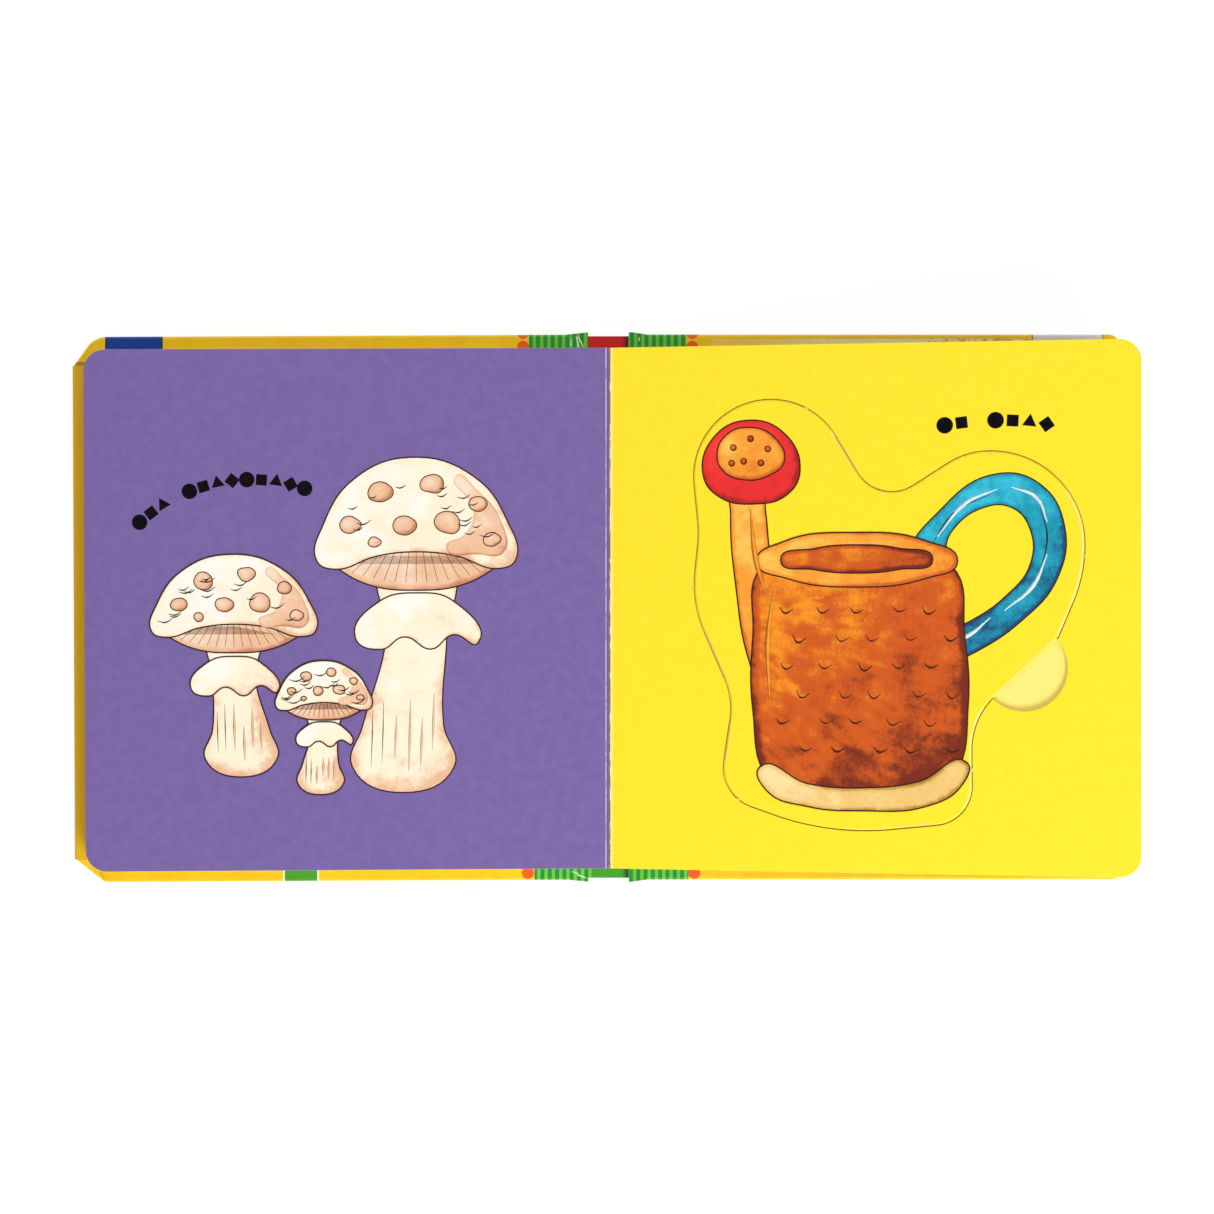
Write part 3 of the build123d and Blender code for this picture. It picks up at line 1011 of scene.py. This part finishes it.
# Painted shadow: the spine darkens from 4 to 6 mm across, at its right end, by the raised strip.
painted_spine_shadow = {"Value": across, "From Min": 4.0 * MM, "From Max": 6.0 * MM, "To Max": 0.85}
painted_spine_shadow = add("ShaderNodeMapRange", painted_spine_shadow, **SMOOTH)
layers.append((block_mask(SPINE_AT_HEAD, HEAD, painted_spine_shadow), ink("#320405")))
layers.append((block_mask(SPINE_AT_TAIL, TAIL, painted_spine_shadow), ink("#0c3004")))
for y_span, x_span, stripe, dot_x, dot_y in bands:
    distance = nearest_line(across, stripe, STRIPE_PERIOD)
    inside = {0: distance, 1: 0.0, 2: STRIPE_WIDTH * MM / 2}
    pale = add("ShaderNodeMath", inside, operation="COMPARE")
    layers.append((block_mask(x_span, y_span), ink("#0e9a3e")))
    layers.append((block_mask(x_span, y_span, pale), ink("#7cc62e")))
    sideways = add("ShaderNodeMath", {0: across, 1: dot_x * MM}, operation="SUBTRACT")
    reach = add("ShaderNodeCombineXYZ", {"X": sideways, "Y": nearest_line(up, dot_y, DOT_PITCH)})
    reach = add("ShaderNodeVectorMath", {0: reach}, "Value", operation="LENGTH")
    near = add("ShaderNodeMath", {0: reach, 1: DOT_RADIUS * MM}, operation="LESS_THAN")
    dots = block_mask((dot_x - DOT_ROOM, dot_x + DOT_ROOM), y_span, near)
    layers.append((dots, ink("#f86018")))
print("Layers so far:", len(layers))

# %% [markdown]
# Wear comes last. A crack is a thin line that wobbles a little, and the painted shade of a fold at
# the front cover's lower corner is drawn the same way. The strip along the head has lost its film,
# with a torn border: its card is yellow by the spine, paler towards the fore edge, and specked
# with brown at the far end. Then the layers are mixed one over the other.

# %% Cracks, scuffed strip and the finished paper
WOBBLE = 0.3
WHOLE_WIDTH, HEAD_STRIP, FAR_END = (-160, 160), (31, 124.5), (94, 124.5)
TORN_RISE, WORN_RISE = (70, 79.1), (70, 79.9)
# Sizes of the wobbles, of the brown specks and of the dents from handling
WAVER, FLECK, DENTED = 1 * MM, 1 * MM, 2.5 * MM
FILM, FILM_GLOSS, FILM_DENT = 0.35, 0.3, 0.02 * MM

wobble = mottle(add, place, WAVER, 1.0)
wobbly = {0: wobble, 1: WOBBLE * MM, 2: across}
wobbly = add("ShaderNodeMath", wobbly, operation="MULTIPLY_ADD")
for x, y, slope, half_height, half_width, hexed in cracks:
    straight = {0: up, 1: -slope, 2: wobbly}
    straight = add("ShaderNodeMath", straight, operation="MULTIPLY_ADD")
    inside = {0: straight, 1: (x - slope * y + WOBBLE / 2) * MM, 2: half_width * MM}
    line = add("ShaderNodeMath", inside, operation="COMPARE")
    beside = (y - half_height, y + half_height)
    layers.append((block_mask(WHOLE_WIDTH, beside, line), ink(hexed)))
torn = block_mask(HEAD_STRIP, TORN_RISE, ragged=0.8)
outer = {"Value": across, "From Min": 40 * MM, "From Max": 70 * MM}
outer = add("ShaderNodeMapRange", outer, **SMOOTH)
specks = mottle(add, place, FLECK, 0.06, (0.6, 1, 1), 5)
specks = add("ShaderNodeMath", {0: specks, 1: 0.985}, operation="GREATER_THAN")
layers.append((torn, ink("#ffd654")))
layers.append((block_mask(HEAD_STRIP, WORN_RISE, torn, outer), ink("#ffe9a6")))
layers.append((block_mask(FAR_END, WORN_RISE, torn, specks), ink("#dcb668")))
colour = ink("#fcca0e")
for mask, over in layers:
    inputs = {FACTOR: mask, COLOUR_A: colour, COLOUR_B: over}
    colour = add("ShaderNodeMix", inputs, MIXED, **COLOURS)
dents = {"Height": mottle(add, place, DENTED), "Strength": 0.6, "Distance": FILM_DENT}
inputs = {
    "Base Color": colour, "Roughness": FILM, "Specular IOR Level": FILM_GLOSS,
    "Normal": add("ShaderNodeBump", dents),
}
add(SURFACE, {"Surface": add(SHADER, inputs)})
print("Case print:", len(layers), "layers")

# %% [markdown]
# The sheet comes parted where its two covers turn. Where it is cut again, a plane parts it and
# its end is closed. The print is tied to where each point lies on the open book, so it bends with
# the sheet.

# %% Cutting the sheet and keeping its print
def keep_place(piece):
    """Stores where each point lies on the open book, for the print."""
    mesh = piece.data
    attribute = mesh.attributes.new(PRINT_PLACE, "FLOAT_VECTOR", "POINT")
    for point, vertex in zip(attribute.data, mesh.vertices):
        point.vector = vertex.co


def cut(shape, point, keep):
    """Cuts a shape at a plane, keeps the side that keep points to, and closes it."""
    geometry = shape.verts[:] + shape.edges[:] + shape.faces[:]
    made = bmesh.ops.bisect_plane(
        shape, geom=geometry, plane_co=point, plane_no=keep, clear_inner=True
    )
    rim = [item for item in made["geom_cut"] if isinstance(item, bmesh.types.BMEdge)]
    bmesh.ops.holes_fill(shape, edges=rim, sides=0)


for side, (middle, _) in joint_edges.items():
    print(f"The {side} board starts {abs(middle.x - gutter.x) / MM:.2f} mm from the gutter")

# %% [markdown]
# On each side the sheet is cut along the board's edge: beyond the cut it is stiff and rides with
# its board, and short of it a strip bends in the joint between the board and the spine, its end
# lapped over the spine.

# %% Sides of the case
JOINT_STEPS = 8
STIFF_MARGIN = 0.3 * MM
FOLD_GAP = 0.1 * MM
LAP = {"left": 0.25 * MM, "right": 0.6 * MM}
LAP_HEIGHT = 0.12 * MM
STRIP_FOOT = 1 * MM
spine_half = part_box("spine_paper")[1].x - gutter.x


def make_case_side(side):
    """One cover's paper, and the strip of it that bends in the joint beside the spine."""
    cover, body = HALVES[side]
    node = f"{cover}_cover_paper"
    middle, out = joint_edges[side]
    hinge_line = middle - out * STIFF_MARGIN
    way = math.copysign(1, out.x)
    start = gutter.x + way * (spine_half + FOLD_GAP)
    stiff = merged_copy(node)
    cut(stiff, hinge_line, out)
    stiff = make_piece(stiff, f"{cover}_case_sheet", [laminated], body, [node])
    keep_place(stiff)
    even_shading(stiff)

    strip = merged_copy(node)
    cut(strip, hinge_line, -out)
    for step in range(1, JOINT_STEPS):
        x = start + (hinge_line.x - start) * step / JOINT_STEPS
        geometry = strip.verts[:] + strip.edges[:] + strip.faces[:]
        bmesh.ops.bisect_plane(strip, geom=geometry, plane_co=(x, 0, 0), plane_no=(1, 0, 0))
    for vertex in strip.verts:
        if abs(vertex.co.x - start) < FOLD_GAP / 2 and vertex.co.z > STRIP_FOOT:
            vertex.co += Vector((-way * LAP[side], 0, LAP_HEIGHT))
    strip = make_piece(strip, f"{cover}_joint_sheet", [laminated], None, ())
    keep_place(strip)
    stiff_from = hinge_line - out * 2 * STIFF_MARGIN
    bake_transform(strip, "spine", body, start=(start, 0, 0), end=(stiff_from.x, 0, 0))


print("The sheet is", round(2 * spine_half / MM, 1), "mm wide over the spine")

# %% [markdown]
# On the front cover the end of the sheet is turned in last, along the fore edge, and its thickness
# shows at both corners. It is a long flat block, with its outer upper edge bent round the cover,
# turned to lie along that edge.

# %% Fore-edge turn-in
FLAP_THICKNESS = 0.3 * MM
FLAP_REACH = 3.3 * MM
FLAP_ENDS = (-73.4 * MM, 71.4 * MM)
FLAP_SHORT = 0.2 * MM
FLAP_BEND, FLAP_EDGE = 0.9 * MM, 0.1 * MM
FLAP_SHARP = math.radians(30)
FACING = 0.99


def make_fore_edge_flap():
    """The last turned-in end of the sheet, wrapped over the front cover's fore edge."""
    middle, out = joint_edges["left"]
    lowest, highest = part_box("front_cover_paper")
    faces = nodes["front_cover_paper"].data.polygons
    face = max(
        (face for face in faces if face.normal.dot(out) > FACING),
        key=lambda polygon: polygon.area,
    )
    reach = (face.center - middle).dot(out) + FLAP_THICKNESS / 2
    flap = bmesh.new()
    bmesh.ops.create_cube(flap, size=1)
    bmesh.ops.scale(flap, verts=flap.verts, vec=(
        FLAP_REACH, FLAP_ENDS[1] - FLAP_ENDS[0], highest.z - lowest.z - FLAP_SHORT,
    ))
    bmesh.ops.translate(flap, verts=flap.verts, vec=(
        FLAP_REACH / 2 - reach, sum(FLAP_ENDS) / 2, (lowest.z + highest.z) / 2 + FLAP_THICKNESS,
    ))
    soften(flap, FLAP_BEND, 4, lambda edge: all(
        vertex.co.z > highest.z and vertex.co.x < EDGE_RADIUS - reach for vertex in edge.verts
    ))
    turn = Matrix.Rotation(math.atan2(-out.y, -out.x), 4, "Z")
    place = Matrix.Translation((middle.x, 0, 0)) @ turn
    bmesh.ops.transform(flap, matrix=place, verts=flap.verts)
    soften(flap, FLAP_EDGE, 2)
    flap = make_piece(flap, "fore_edge_turn_in", [laminated], "front_half", ())
    keep_place(flap)
    even_shading(flap, FLAP_SHARP)


print("The turn-in is", round((FLAP_ENDS[1] - FLAP_ENDS[0]) / MM, 1), "mm long")

# %% Covers, joint strips and spine
SPINE_EDGE = 0.15 * MM

make_fore_edge_flap()
make_case_side("left")
make_case_side("right")
spine_sheet = merged_copy("spine_paper")
soften(spine_sheet, SPINE_EDGE, 2)
spine_sheet = make_piece(
    spine_sheet, "spine_sheet", [laminated], "spine", ["spine_paper"]
)
keep_place(spine_sheet)
even_shading(spine_sheet)

for name in ("front_board", "back_board", "spine_card"):
    nodes[name].data.materials.clear()
    nodes[name].data.materials.append(grey_board)

# %% [markdown]
# The floor is white card. To the camera it also glows a little, so that it reads as the white
# ground of the picture and still takes the soft shadow of the book. Mirror-like and clear things
# would see the same glow.

# %% Floor
GLOW_SHARE, GLOW_STRENGTH = 0.78, 1.12
FLOOR_SIZE = 4
FLOOR_DROP = 0.05 * MM
WHITE = (1, 1, 1, 1)

floor_shape = bmesh.new()
bmesh.ops.create_grid(floor_shape, x_segments=1, y_segments=1, size=FLOOR_SIZE)
floor_material, add = new_material("white_ground")
card = add(SHADER, {"Base Color": ink("#f4f4f4"), "Roughness": 0.9})
rays = add("ShaderNodeLightPath", output="Is Camera Ray")
seen = rays
for name in ("Is Glossy Ray", "Is Transmission Ray"):
    seen = add("ShaderNodeMath", {0: seen, 1: rays.node.outputs[name]}, operation="MAXIMUM")
share = add("ShaderNodeMath", {0: seen, 1: GLOW_SHARE}, operation="MULTIPLY")
glow = add("ShaderNodeEmission", {"Color": WHITE, "Strength": GLOW_STRENGTH})
add(SURFACE, {"Surface": add("ShaderNodeMixShader", {0: share, 1: card, 2: glow})})
floor = make_piece(floor_shape, "floor", [floor_material])
floor.data.transform(Matrix.Translation((0, 0, -FLOOR_DROP)))
floor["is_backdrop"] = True

# %% [markdown]
# The key lamp stands beyond the tail and a little to the right, as the shades in the picture tell.
# A weaker one beyond the head lights the strip of cover behind the raised leaves, and a white
# studio fills the rest. The camera sees that studio as plain white.

# %% Studio and lamps
STUDIO_LIGHT = 0.48

world = bpy.data.worlds.new("studio")
scene.world = world
world.use_nodes = True
world.node_tree.nodes.clear()
add = partial(add_node, world.node_tree)
seen = {"Value": add("ShaderNodeLightPath", output="Is Camera Ray"), "To Min": STUDIO_LIGHT}
strength = add("ShaderNodeMapRange", seen)
studio = add("ShaderNodeBackground", {"Color": WHITE, "Strength": strength})
add("ShaderNodeOutputWorld", {"Surface": studio})

# Lamps: place in metres, size in metres, power in watts
lamps = {"key_lamp": ((0.36, -0.74, 0.7), 0.5, 8.6), "head_lamp": ((-0.1, 0.95, 0.7), 0.7, 3.6)}
for name, (place, size, power) in lamps.items():
    lamp_data = bpy.data.lights.new(name, "AREA")
    lamp_data.size, lamp_data.energy = size, power
    lamp = bpy.data.objects.new(name, lamp_data)
    lamp.location = place
    lamp.rotation_euler = lamp.location.to_track_quat("Z", "Y").to_euler()
    scene.collection.objects.link(lamp)
    print(f"{name}: {power} W, {lamp.location.length:.2f} m from the book")
scene.view_settings.view_transform = "Standard"

# %% Finish
size = {
    "cad": [list(corner) for corner in cad_box],
    "visual": [list(corner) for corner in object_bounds()],
}
print("The finished book, in mm:", [round((b - a) / MM, 1) for a, b in zip(*size["visual"])])
